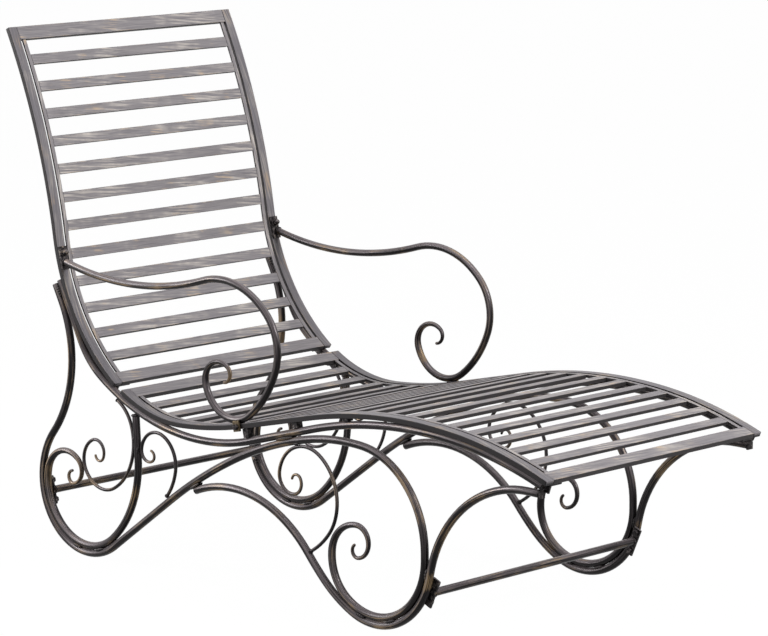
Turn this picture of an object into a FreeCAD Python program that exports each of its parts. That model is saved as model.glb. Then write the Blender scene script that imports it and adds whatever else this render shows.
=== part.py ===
import FreeCAD, Part
import math
import os

os.makedirs("parts", exist_ok=True)
V = FreeCAD.Vector

# Overall sizes in millimetres. X runs from the backrest to the foot end, Z is up.
WIDTH = 600.0           # over the outer edges of both panels
TUBE_D = 15.0           # round tube of the side frames and the cross bars
ARM_D = 14.0            # round tube of the armrests
ROD_D = 7.0             # thin scroll rods
TIP_D = 6.0             # drawn out tip of a tube scroll
ROD_TIP_D = 5.0         # drawn out tip of a rod scroll
FRAME_INSET = 2.0       # side frame tubes stand inside the panel edge by this much
WELD_GAP = 0.3          # room left at every welded or bolted face

# Panels
RAIL_W = 28.0           # flat top, bottom, rear and front rails
SIDE_W = 21.0           # flat side rails
RAIL_T = 10.0
STRIP_W = 9.0           # carrier strips that the slat ends are welded to
STRIP_T = 4.0
STRIP_GAP = 5.0         # slit between a side rail and its carrier strip
SLAT_W = 21.0
SLAT_T = 7.0
SLAT_SINK = 0.8         # slat tops lie below the rail tops by this much
BACK_SLATS = 12
SEAT_SLATS = 21

# Side frame bends
REAR_FOOT_R = 136.0     # centre line of the rear foot bend
FRONT_LOOP_R = 127.0    # centre line of the scroll loop inside the front foot
LOOP_REACH = 804.0      # from the rear foot centre to the front loop centre
REAR_BAR_DROP = 28.0    # cross bars below the centres of the foot bends
FRONT_BAR_DROP = 62.0
FRONT_BAR_LEAD = 7.0    # front bar ahead of its leg tube

# Plates and fasteners
PLATE_T = 4.0
BOLT_D = 6.0
BOLT_AF = 11.0          # hexagon across flats
BOLT_HEAD = 4.5
HOLE_PLAY = 0.4         # hole wider than its bolt
WASHER_D = 18.0
WASHER_T = 1.8
DOME_D = 13.0
END_PLATE_L = 58.0      # cross bar end plates, along the leg tube
REAR_PLATE_W = 12.0
FRONT_PLATE_W = 17.0
BOLT_SPREAD = 40.0      # between the two bolts of one end plate
ARM_PLATE_L = 46.0
ARM_PLATE_W = 20.0
ARM_TAB_L = 17.0
ARM_TAB_H = 21.0
TAB_L = 24.0            # angle tabs under the panels
TAB_W = 30.0
TAB_H = 19.0
BRACKET_BACK = 10.0     # seat tube ends behind the front edge of the seat by this much
SPACER_L = 14.0
SPACER_MIN = 5.0        # lowest spacer, where the seat rail comes down to the seat tube
SPACERS = 3

FRAME_Y = WIDTH / 2 - FRAME_INSET - TUBE_D / 2
ARM_Y = WIDTH / 2 - ARM_D / 2
RAIL_IN = WIDTH / 2 - SIDE_W
STRIP_OUT = RAIL_IN - STRIP_GAP
SLAT_HALF = STRIP_OUT - STRIP_W - WELD_GAP
TOUCH = TUBE_D + WELD_GAP


class Bend:
    """A centre line in the side plane, walked from a start point through joined steps.

    A step (radius, degrees) is an arc, to the left for positive degrees.
    A step (length, 0) is a straight run.
    """

    def __init__(self, x, z, heading, steps):
        self.x = x
        self.z = z
        self.heading = heading
        self.steps = list(steps)

    def pieces(self):
        x, z, h = self.x, self.z, math.radians(self.heading)
        out = []
        for size, degrees in self.steps:
            turn = math.radians(degrees)
            length = size * abs(turn) if degrees else size
            out.append((x, z, h, length, turn))
            x, z, h = walk(x, z, h, length, turn, length)
        return out

    def length(self, count=None):
        return sum(piece[3] for piece in self.pieces()[:count])

    def at(self, s):
        parts = self.pieces()
        for x, z, h, length, turn in parts[:-1]:
            if s <= length:
                return walk(x, z, h, length, turn, s)
            s -= length
        x, z, h, length, turn = parts[-1]
        return walk(x, z, h, length, turn, s)

    def beside(self, s, lift):
        x, z, h = self.at(s)
        return x - lift * math.sin(h), z + lift * math.cos(h), h

    def moved(self, dx, dz):
        return Bend(self.x + dx, self.z + dz, self.heading, self.steps)

    def centre(self, index):
        x, z, h, length, turn = self.pieces()[index]
        r = length / turn
        return x - r * math.sin(h), z + r * math.cos(h)

    def centred(self, index, x, z):
        cx, cz = self.centre(index)
        return self.moved(x - cx, z - cz)

    def cut_start(self, s):
        """The same line without its first s millimetres."""
        x, z, h = self.at(s)
        steps = []
        for (size, degrees), piece in zip(self.steps, self.pieces()):
            left = min(piece[3], piece[3] - s)
            s = max(0.0, s - piece[3])
            if left > 0.01:
                steps.append((size, degrees * left / piece[3]) if degrees else (left, 0))
        return Bend(x, z, math.degrees(h), steps)

    def cut_end(self, s):
        """The same line without its last s millimetres."""
        keep = self.length() - s
        steps = []
        for (size, degrees), piece in zip(self.steps, self.pieces()):
            part = min(piece[3], keep)
            keep -= part
            if part > 0.01:
                steps.append((size, degrees * part / piece[3]) if degrees else (part, 0))
        return Bend(self.x, self.z, self.heading, steps)

    def bulge(self, s, span):
        """How far the line rises above its own tangent within a span about s."""
        x, z, h = self.at(s)
        ends = [self.at(s - span / 2), self.at(s + span / 2)]
        return max(0.0, *[(e[1] - z) * math.cos(h) - (e[0] - x) * math.sin(h) for e in ends])

    def wire(self, y, count=None, lift=0.0, first=0):
        edges = []
        for x, z, h, length, turn in self.pieces()[first:count]:
            a, m, b = [spot(walk(x, z, h, length, turn, length * k / 2), y, lift) for k in range(3)]
            if turn:
                edges.append(Part.Arc(a, m, b).toShape())
            else:
                edges.append(Part.LineSegment(a, b).toShape())
        return Part.Wire(edges)


def walk(x, z, h, length, turn, s):
    """Point and heading after s millimetres on one step."""
    if not turn:
        return x + s * math.cos(h), z + s * math.sin(h), h
    r = length / turn
    g = h + s / r
    return x + r * (math.sin(g) - math.sin(h)), z - r * (math.cos(g) - math.cos(h)), g


def spot(point, y, lift):
    x, z, h = point
    return V(x - lift * math.sin(h), y, z + lift * math.cos(h))


def distance(bend, others, first=0, count=None):
    wire = bend.wire(0.0, count, 0.0, first)
    return min(wire.distToShape(other.wire(0.0))[0] for other in others)


def reach(bend, s, host, d=0.0):
    """Distance from a point of the line to the host, less the overhang of a flat cut end."""
    x, z, h = bend.at(s)
    far, pairs, info = Part.Vertex(x, 0, z).distToShape(host.wire(0.0))
    away = pairs[0][0] - pairs[0][1]
    square = away.dot(V(math.cos(h), 0, math.sin(h))) / max(far, 0.001)
    return far - d / 2 * math.sqrt(max(0.0, 1 - square * square))


def nearest(bend, x, z):
    """Distance along the line of its point nearest to (x, z)."""
    low, high = 0.0, bend.length()
    for step in range(5):
        grid = [low + (high - low) * k / 40 for k in range(41)]
        best = min(grid, key=lambda s: math.hypot(bend.at(s)[0] - x, bend.at(s)[1] - z))
        span = (high - low) / 40
        low, high = best - span, best + span
    return best


def settled(bend, others, dx, dz, clear, travel, first=0, count=None):
    """Move the line along (dx, dz) until the chosen steps come to the clearance from the others."""
    low, high = -travel, travel
    for step in range(30):
        mid = (low + high) / 2
        if distance(bend.moved(dx * mid, dz * mid), others, first, count) > clear:
            low = mid
        else:
            high = mid
    return bend.moved(dx * low, dz * low)


def trimmed(bend, host, clear, d):
    """Cut the start of the line so that its flat end clears the host."""
    s = 0.0
    while reach(bend, s + 1, host) < reach(bend, s, host):
        s += 1
    low, high = s, s + 14 * clear
    for step in range(30):
        mid = (low + high) / 2
        if reach(bend, mid, host, d) < clear:
            low = mid
        else:
            high = mid
    return bend.cut_start(high)


def ring(bend, s, y, d):
    x, z, h = bend.at(s)
    wire = Part.Wire([Part.Circle(V(0, 0, 0), V(0, 0, 1), d / 2).toShape()])
    along = V(math.cos(h), 0, math.sin(h))
    across = V(0, 1, 0)
    turn = FreeCAD.Rotation(across, along.cross(across), along, "ZXY")
    wire.Placement = FreeCAD.Placement(V(x, y, z), turn)
    return wire


def tube(bend, y, d, tip=None, taper_steps=0):
    """Round bar along the line. The last steps are drawn out to the tip diameter."""
    count = len(bend.steps) - taper_steps
    body = bend.wire(y, count).makePipeShell([ring(bend, 0, y, d)], True, False)
    if not taper_steps:
        return body
    start = bend.length(count)
    rest = bend.length() - start
    sweep = sum(abs(degrees) for size, degrees in bend.steps[count:])
    rings = max(8, int(sweep / 12))
    spots = []
    turned = 0.0
    for size, degrees in bend.steps[count:]:
        share = max(2, round(rings * abs(degrees) / sweep))
        arc = size * math.radians(abs(degrees))
        spots += [turned + arc * k / share for k in range(share)]
        turned += arc
    spots.append(rest)
    wires = [ring(bend, start + s, y, d + (tip - d) * s / rest) for s in spots]
    return body.fuse(Part.makeLoft(wires, True, False))


def strip(bend, thick, y0, y1, lift=0.0):
    """Flat bar bent along the line, from y0 to y1."""
    upper = bend.wire(y0, None, lift + thick / 2)
    lower = bend.wire(y0, None, lift - thick / 2)
    ends = []
    for s in (0.0, bend.length()):
        point = bend.at(s)
        a = spot(point, y0, lift + thick / 2)
        b = spot(point, y0, lift - thick / 2)
        ends.append(Part.LineSegment(a, b).toShape())
    edges = Part.sortEdges(upper.Edges + lower.Edges + ends)[0]
    return Part.Face(Part.Wire(edges)).extrude(V(0, y1 - y0, 0))


def block(bend, s, along, y0, y1, low, high):
    """Box on the line at s, its faces low and high measured square to the line."""
    x, z, h = bend.at(s)
    box = Part.makeBox(along, y1 - y0, high - low, V(-along / 2, y0, low))
    return placed(box, x, 0, z, h)


def placed(shape, x, y, z, h):
    shape = shape.copy()
    shape.rotate(V(0, 0, 0), V(0, 1, 0), -math.degrees(h))
    shape.translate(V(x, y, z))
    return shape


def hexagon(across, height):
    r = across / math.sqrt(3)
    points = [V(r * math.cos(k * math.pi / 3), r * math.sin(k * math.pi / 3), 0) for k in range(7)]
    return Part.Face(Part.makePolygon(points)).extrude(V(0, 0, height))


def bolt(shank):
    """Hexagon bolt, head from z = -BOLT_HEAD to 0, shank upwards."""
    head = hexagon(BOLT_AF, BOLT_HEAD)
    head.translate(V(0, 0, -BOLT_HEAD))
    return head.fuse(Part.makeCylinder(BOLT_D / 2, shank, V(0, 0, 0)))


def drill(shank):
    return Part.makeCylinder(BOLT_D / 2 + HOLE_PLAY / 2, shank + 2 * WELD_GAP, V(0, 0, -WELD_GAP))


def mirrored(shape):
    return shape.mirror(V(0, 0, 0), V(0, 1, 0))


def both(shapes):
    return [item for shape in shapes for item in (shape, mirrored(shape))]


# Rear leg tube: top end, rear foot, diagonal, arch, front loop and scroll. It stands on the floor.
LEG_TOP = [(36, 0), (240, -69), (146, 45.5)]
LEG_ARCH = [(1200, -10.5), (876, -12.8), (500, -17), (176, -85), (14, 0)]
LEG_SCROLL = [(92, -60), (64, -86), (31, -172), (13, -160)]
foot_z = TUBE_D / 2 + REAR_FOOT_R
loop_z = TUBE_D / 2 + TOUCH + FRONT_LOOP_R


def rear_leg_with(diagonal, lean):
    steps = LEG_TOP + [(REAR_FOOT_R, 119 + lean), (diagonal, 0)] + LEG_ARCH
    steps += [(FRONT_LOOP_R, -123 - lean)] + LEG_SCROLL
    return Bend(0, 0, -62, steps).centred(3, 0, foot_z)


def solve_diagonal():
    """Length and lean of the diagonal that bring the front loop to its height and reach."""
    diagonal, lean = 213.0, 0.0
    loop = len(LEG_TOP) + 2 + len(LEG_ARCH)
    for step in range(12):
        x, z = rear_leg_with(diagonal, lean).centre(loop)
        x1, z1 = rear_leg_with(diagonal + 1, lean).centre(loop)
        x2, z2 = rear_leg_with(diagonal, lean + 0.1).centre(loop)
        a, b, c, d = x1 - x, (x2 - x) * 10, z1 - z, (z2 - z) * 10
        ex, ez = LOOP_REACH - x, loop_z - z
        det = a * d - b * c
        diagonal += (ex * d - ez * b) / det
        lean += (a * ez - c * ex) / det
    return diagonal, lean


rear_leg = rear_leg_with(*solve_diagonal())

# Seat tube: rests on the rear leg tube from above.
SEAT_BENDS = [(128, 0), (182, 29.3), (524, 48.7), (LOOP_REACH - 637, 0), (982, -18), (900, -20)]
seat_tube = Bend(-72, 552, -62.3, SEAT_BENDS)
seat_tube = settled(seat_tube, [rear_leg], 0, -1, TOUCH, 40)

# Panels: the seat rails lie on the seat tubes, the backrest rails lean on them.
# The last bend of the seat rail follows the seat tube, which ends just behind it.
rail_touch = TUBE_D / 2 + RAIL_T / 2 + WELD_GAP
SEAT_RAIL = [(324, 32.9), (1008, 9.9), (LOOP_REACH - 624, 0), (1098, -19.2)]
SEAT_RAIL.append((SEAT_BENDS[-1][0] + rail_touch, -14.6))
seat_rail = settled(Bend(114.1, 352, -29.9, SEAT_RAIL), [seat_tube], 0, -1, rail_touch, 40)
BACK_RAIL = [(1352, -18.3), (414, 46)]
back_rail = settled(Bend(-211, 1044, -62.5, BACK_RAIL), [seat_tube], -1, 0, rail_touch, 60)
rail_end = seat_rail.at(seat_rail.length() - BRACKET_BACK)
seat_tube = seat_tube.cut_end(seat_tube.length() - nearest(seat_tube, *rail_end[:2]))

# Front leg tube: its foot bend wraps the front loop, so both share one centre.
# The upper bend is as wide as it can be before it meets the seat tube.
# The tail behind the foot ends where it comes to the diagonal of the rear leg.
front_foot_r = FRONT_LOOP_R + TOUCH
tube_end = seat_tube.at(seat_tube.length())
bracket_x = tube_end[0] - TUBE_D / 2 * abs(math.sin(tube_end[2])) - PLATE_T


def front_leg_with(radius):
    steps = [(274, -101), (613, 5.7), (276, 18.3), (front_foot_r, 103.7), (radius, -79.7)]
    leg = Bend(0, 0, 52.5, steps).centred(3, LOOP_REACH, loop_z)
    leg.steps.append((bracket_x - WELD_GAP - leg.at(leg.length())[0], 0))
    return leg


def solve_front_radius():
    low, high = 120.0, 320.0
    for step in range(30):
        mid = (low + high) / 2
        if distance(front_leg_with(mid), [seat_tube], 4) > TOUCH:
            low = mid
        else:
            high = mid
    return low


def solve_tail(leg):
    """How much of the tail is cut off to end it beside the rear leg."""
    low, high = 0.0, leg.length(1)
    for step in range(30):
        mid = (low + high) / 2
        if distance(leg.cut_start(mid), [rear_leg], 0, 2) > TOUCH:
            high = mid
        else:
            low = mid
    return high


front_leg = front_leg_with(solve_front_radius())
front_leg = front_leg.cut_start(solve_tail(front_leg))

# Rear loop tube: its bend lies inside the rear foot with the same centre.
rear_loop_r = REAR_FOOT_R - TOUCH
REAR_LOOP = [(211, -54), (rear_loop_r, -122), (98, -20), (57, -116), (29, -134), (13, -190)]
rear_loop = Bend(0, 0, -86.5, [(150, 0)] + REAR_LOOP).centred(2, 0, foot_z)
rear_loop = trimmed(rear_loop, seat_tube, TUBE_D / 2 + WELD_GAP, TUBE_D)

# Thin scroll rods. Each touches one tube with its flank and is cut off where it meets another.
ROD_TOUCH = (TUBE_D + ROD_D) / 2 + WELD_GAP
ROD_END = TUBE_D / 2 + WELD_GAP


def rear_rod_with(radius):
    steps = [(50, 0), (79, -40), (112, -78), (radius, -86), (46, -97), (24, -144), (12, -150)]
    rod = settled(Bend(50, 353, -34, steps), [rear_loop], 1, 0, ROD_TOUCH, 40, 0, 3)
    return trimmed(rod, seat_tube, ROD_END, ROD_D)


def solve_rod_radius():
    """Widest belly of the rear rod that still clears the curl of the rear loop."""
    low, high = 30.0, 90.0
    for step in range(20):
        mid = (low + high) / 2
        if distance(rear_rod_with(mid), [rear_loop], 3) > ROD_TOUCH:
            low = mid
        else:
            high = mid
    return low


rear_rod = rear_rod_with(solve_rod_radius())
MID_ROD = [(40, 0), (112, 47), (60, 79), (45, 102), (21, 130), (11, 150)]
mid_rod = settled(Bend(188, 117, 32, MID_ROD), [rear_loop], -1, 0, ROD_TOUCH, 40, 3)
mid_rod = trimmed(mid_rod, rear_leg, ROD_END, ROD_D)
FRONT_ROD = [(40, 0), (159, 20), (99, 96), (72, 65), (67, 46), (34, 116), (22, 102), (12, 150)]
rod_start = LOOP_REACH - FRONT_LOOP_R - 67
front_rod = settled(Bend(rod_start, 95, 32, FRONT_ROD), [rear_leg], 0, 1, ROD_TOUCH, 60, 3, 5)
front_rod = settled(front_rod, [rear_leg], 1, 0, ROD_TOUCH + ROD_D / 2, 60, 0, 3)
front_rod = settled(front_rod, [rear_leg], 0, 1, ROD_TOUCH, 40, 3, 5)
front_rod = trimmed(front_rod, front_leg, ROD_END, ROD_D)

# Armrest: rests on the seat rail and ends at a plate on the backrest rail.
ARM = [(120, 0), (769, 29.7), (172, -62.6), (103, -65), (202, -32), (79, -110), (39, -143), (17, -150)]
arm_rest = RAIL_T / 2 + ARM_D / 2 + WELD_GAP
arm = settled(Bend(-161, 614, -13.3, ARM), [seat_rail], 0, -1, arm_rest, 40)
plate_bed = RAIL_T / 2 + WELD_GAP + back_rail.bulge(nearest(back_rail, *arm.at(100)[:2]), ARM_PLATE_L)
arm = trimmed(arm, back_rail, plate_bed + PLATE_T + WELD_GAP, ARM_D)

nodes = {}


def pair(name, shape):
    """The near side shape and its mirror image, as two nodes."""
    nodes[name + "_left"] = [shape]
    nodes[name + "_right"] = [mirrored(shape)]


# Side frames, armrests and scroll rods.
y = -FRAME_Y
pair("seat_tube", tube(seat_tube, y, TUBE_D))
pair("rear_leg", tube(rear_leg, y, TUBE_D, TIP_D, 3))
pair("front_leg", tube(front_leg, y, TUBE_D))
pair("rear_loop", tube(rear_loop, y, TUBE_D, TIP_D, 3))
pair("arm", tube(arm, -ARM_Y, ARM_D, TIP_D, 2))
pair("rear_rod", tube(rear_rod, y, ROD_D, ROD_TIP_D, 2))
pair("mid_rod", tube(mid_rod, y, ROD_D, ROD_TIP_D, 2))
pair("front_rod", tube(front_rod, y, ROD_D, ROD_TIP_D, 2))

# Cross bars with their end plates and bolts.
bar_face = FRAME_Y - TUBE_D / 2 - WELD_GAP
bar_half = bar_face - PLATE_T - WELD_GAP
rear_spot = nearest(rear_loop, -rear_loop_r, foot_z - REAR_BAR_DROP)
front_spot = nearest(front_leg, LOOP_REACH + front_foot_r, loop_z - FRONT_BAR_DROP)
bar_plates = []
bar_bolts = []
rear_end = ("rear_bar", rear_loop, rear_spot, 0.0, REAR_PLATE_W)
front_end = ("front_bar", front_leg, front_spot, -FRONT_BAR_LEAD, FRONT_PLATE_W)
for name, line, s, lift, wide in (rear_end, front_end):
    x, z, h = line.beside(s, lift)
    nodes[name] = [Part.makeCylinder(TUBE_D / 2, 2 * bar_half, V(x, -bar_half, z), V(0, 1, 0))]
    plate = Part.makeBox(END_PLATE_L, PLATE_T, wide, V(-END_PLATE_L / 2, -bar_face, -wide / 2))
    for side in (-1, 1):
        screw = bolt(PLATE_T)
        hole = drill(PLATE_T)
        for item in (screw, hole):
            item.rotate(V(0, 0, 0), V(1, 0, 0), 90)
            item.translate(V(side * BOLT_SPREAD / 2, PLATE_T + WELD_GAP - bar_face, 0))
        plate = plate.cut(hole)
        bar_bolts.append(placed(screw, x, 0, z, h))
    bar_plates.append(placed(plate, x, 0, z, h))
nodes["bar_plates"] = both(bar_plates)
nodes["bar_bolts"] = both(bar_bolts)

# Panels: side rails, carrier strips, end rails and slats.
edge = WIDTH / 2
inset = RAIL_W + WELD_GAP


def panel(name, line, slats, group, first, last):
    """One slatted panel. The slats are shared out evenly between the two end rails."""
    rail = strip(line, RAIL_T, -edge, -RAIL_IN)
    inner = line.cut_start(inset).cut_end(inset)
    top = RAIL_T / 2 - SLAT_SINK
    pair(name + "_strip", strip(inner, STRIP_T, -STRIP_OUT, STRIP_W - STRIP_OUT, top - STRIP_T / 2))
    ends = []
    for s in (RAIL_W / 2, line.length() - RAIL_W / 2):
        half = RAIL_IN - WELD_GAP
        ends.append(block(line, s, RAIL_W, -half, half, -RAIL_T / 2, RAIL_T / 2))
    nodes[first], nodes[last] = [ends[0]], [ends[1]]
    step = (line.length() - RAIL_W) / (slats + 1)
    for k in range(slats):
        slat = block(line, RAIL_W / 2 + step * (k + 1), SLAT_W, -SLAT_HALF, SLAT_HALF, top - SLAT_T, top)
        nodes.setdefault("%s_slats_%d" % (name, k // group + 1), []).append(slat)
    return rail


back_side = panel("back", back_rail, BACK_SLATS, 3, "back_top_rail", "back_bottom_rail")
seat_side = panel("seat", seat_rail, SEAT_SLATS, 3, "seat_rear_rail", "seat_front_rail")

# Arm plate on the backrest rail, with a stud, a washer and a dome nut.
arm_spot = nearest(back_rail, arm.x, arm.z)
plate_spot = arm_spot - ARM_PLATE_L / 2 + ARM_D
px, pz, ph = back_rail.at(plate_spot)
plate_y = ARM_PLATE_W / 2 - edge
stud_x = DOME_D - ARM_PLATE_L / 2
plate_top = plate_bed + PLATE_T
under = RAIL_T / 2 + WELD_GAP
corner = V(-ARM_PLATE_L / 2, plate_y - ARM_PLATE_W / 2, plate_bed)
stud_hole = Part.makeCylinder((BOLT_D + HOLE_PLAY) / 2, 4 * RAIL_T, V(stud_x, plate_y, -2 * RAIL_T))
plate = Part.makeBox(ARM_PLATE_L, ARM_PLATE_W, PLATE_T, corner).cut(stud_hole)
washer_z = plate_top + WELD_GAP
nut_z = washer_z + WASHER_T + WELD_GAP
stud_len = under + nut_z + DOME_D / 3
stud = Part.makeCylinder(BOLT_D / 2, stud_len, V(stud_x, plate_y, -under))
stud = stud.fuse(Part.makeCylinder(BOLT_D, BOLT_HEAD / 2, V(stud_x, plate_y, -under - BOLT_HEAD / 2)))
washer = Part.makeCylinder(WASHER_D / 2, WASHER_T, V(stud_x, plate_y, washer_z)).cut(stud_hole)
nut = hexagon(DOME_D * 0.94, DOME_D * 0.4)
dome = Part.makeSphere(DOME_D * 0.43, V(0, 0, DOME_D * 0.4), V(0, 0, 1), 0, 90, 360)
nut = nut.fuse(dome)
nut.translate(V(stud_x, plate_y, nut_z))
bore = Part.makeCylinder((BOLT_D + HOLE_PLAY) / 2, DOME_D / 3 + WELD_GAP, V(stud_x, plate_y, nut_z))
nut = nut.cut(bore)
back_side = back_side.cut(placed(stud_hole, px, 0, pz, ph))
nodes["arm_plates"] = both([placed(plate, px, 0, pz, ph)])
nodes["arm_studs"] = both([placed(stud, px, 0, pz, ph)])
nodes["arm_washers"] = both([placed(washer, px, 0, pz, ph)])
nodes["dome_nuts"] = both([placed(nut, px, 0, pz, ph)])

# Arm tab: stands outside the seat rail and the armrest, with a screw into the rail.
near = arm.wire(0.0).distToShape(seat_rail.wire(0.0))[1][0][1]
tab_spot = nearest(seat_rail, near.x, near.z)
tab_out = -edge - WELD_GAP - PLATE_T
tab_top = RAIL_T / 2 + ARM_D / 2
arm_tab = block(seat_rail, tab_spot, ARM_TAB_L, tab_out, tab_out + PLATE_T, tab_top - ARM_TAB_H, tab_top)
tx, tz, th = seat_rail.at(tab_spot)
screw = bolt(PLATE_T + SIDE_W / 2)
screw_hole = drill(PLATE_T + SIDE_W / 2)
for item in (screw, screw_hole):
    item.rotate(V(0, 0, 0), V(1, 0, 0), -90)
    item.translate(V(0, tab_out - WELD_GAP, 0))
screw = placed(screw, tx, 0, tz, th)
screw_hole = placed(screw_hole, tx, 0, tz, th)
nodes["arm_tabs"] = both([arm_tab.cut(screw_hole)])
nodes["arm_screws"] = both([screw])
seat_side = seat_side.cut(screw_hole)

# Angle tabs: bolted up into the ends of the end rails, welded to the inner side of the seat tubes.
angle_tabs = []
tab_bolts = []
tab_side = -bar_face


def angle_tab(line, s, rail_node):
    """A flange under an end rail and a flange beside the seat tube."""
    flange = block(line, s, TAB_L, tab_side, TAB_W + tab_side, -under - PLATE_T, -under)
    wall = block(line, s, TAB_L, tab_side, tab_side + PLATE_T, -under - TAB_H, -under)
    x, z, h = line.at(s)
    shank = PLATE_T + RAIL_T / 2
    up = bolt(shank)
    hole = drill(shank)
    for item in (up, hole):
        item.translate(V(0, TAB_W * 0.7 + tab_side, -under - PLATE_T - WELD_GAP))
    hole = placed(hole, x, 0, z, h)
    rail = nodes[rail_node][0].cut(hole)
    nodes[rail_node] = [rail.cut(mirrored(hole))]
    tab_bolts.append(placed(up, x, 0, z, h))
    return flange.fuse(wall).cut(hole)


angle_tabs.append(angle_tab(back_rail, back_rail.length() - RAIL_W / 2, "back_bottom_rail"))
angle_tabs.append(angle_tab(seat_rail, RAIL_W / 2, "seat_rear_rail"))
angle_tabs.append(angle_tab(seat_rail, seat_rail.length() - RAIL_W / 2, "seat_front_rail"))
nodes["angle_tabs"] = both(angle_tabs)
nodes["tab_bolts"] = both(tab_bolts)

# Front brackets: a plate under the end of each seat tube, across the end of the front leg.
leg_end = front_leg.at(front_leg.length())
slope = math.tan(tube_end[2])
tube_under = tube_end[1] - (TUBE_D / 2 + WELD_GAP) / math.cos(tube_end[2])
plate_high = tube_under + slope * (bracket_x + PLATE_T - tube_end[0])
plate_low = leg_end[1] - TUBE_D / 2 - WELD_GAP
cap = Part.makeBox(PLATE_T, TUBE_D, plate_high - plate_low, V(bracket_x, -FRAME_Y - TUBE_D / 2, plate_low))
nodes["front_brackets"] = both([cap])

# Spacers between the seat rails and the seat tubes, from the hollow of the seat to where the two meet.


def room_at(s):
    x, z, h = seat_rail.at(s)
    return Part.Vertex(x, 0, z).distToShape(seat_tube.wire(0.0))[0] - TUBE_D / 2 - RAIL_T / 2


spacer_first = seat_rail.length(2)
spacer_last = spacer_first
while room_at(spacer_last) > SPACER_MIN + 2 * WELD_GAP:
    spacer_last += 2
spacers = []
for k in range(SPACERS):
    s = spacer_first + (spacer_last - spacer_first) * k / (SPACERS - 1)
    low = WELD_GAP - room_at(s) - RAIL_T / 2
    spacers.append(block(seat_rail, s, SPACER_L, y - TUBE_D / 2, y + TUBE_D / 2, low, -under))
nodes["spacers"] = both(spacers)

pair("back_rail", back_side)
pair("seat_rail", seat_side)

# The finished part stands on the floor, over the middle of its length.
shift = V(-(back_side.BoundBox.XMin + seat_side.BoundBox.XMax) / 2, 0, 0)
for name, solids in nodes.items():
    shape = Part.makeCompound(solids) if len(solids) > 1 else solids[0]
    shape.translate(shift)
    shape.exportStep("parts/%s.step" % name)
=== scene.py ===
import logging
import math
from dataclasses import dataclass, field
from enum import Enum

import bpy
import numpy as np
from mathutils import Matrix, Vector


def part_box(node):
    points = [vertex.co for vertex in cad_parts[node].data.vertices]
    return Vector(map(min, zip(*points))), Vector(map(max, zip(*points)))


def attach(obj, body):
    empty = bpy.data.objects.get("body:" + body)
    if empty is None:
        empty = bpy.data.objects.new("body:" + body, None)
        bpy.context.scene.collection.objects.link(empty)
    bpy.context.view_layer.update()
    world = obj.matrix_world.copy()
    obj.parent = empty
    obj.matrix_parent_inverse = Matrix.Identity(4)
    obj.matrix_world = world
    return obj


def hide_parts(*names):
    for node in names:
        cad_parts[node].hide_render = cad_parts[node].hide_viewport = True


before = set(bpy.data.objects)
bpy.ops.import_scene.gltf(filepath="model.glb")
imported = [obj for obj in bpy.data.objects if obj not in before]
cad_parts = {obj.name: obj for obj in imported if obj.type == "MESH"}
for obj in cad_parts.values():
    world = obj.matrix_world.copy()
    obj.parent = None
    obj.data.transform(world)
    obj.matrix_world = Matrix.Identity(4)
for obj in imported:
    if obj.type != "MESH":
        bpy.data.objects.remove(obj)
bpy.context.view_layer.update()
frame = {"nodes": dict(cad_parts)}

LOG = logging.getLogger("lounger")
MM = 0.001
BAR_EDGE = 0.9  # edge radius at the end of a bent bar, in mm
BAR_SIDES = 24  # points round a tube
ROD_SIDES = 16  # points round a thin rod
BAR_RUB = 0.25  # rub value of a straight bar
WELD_RUB = 0.5  # rub value of a weld
Triple = tuple[float, float, float]
Colour = Triple
Socket = bpy.types.NodeSocket


class Side(Enum):
    """The two mirror-image sides of the lounger, as the sign of their Y."""

    left = -1
    right = 1


class Slot(Enum):
    """Material slot names for the scene's own pieces."""

    frame = "frame_metal"
    panel = "panel_metal"


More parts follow.
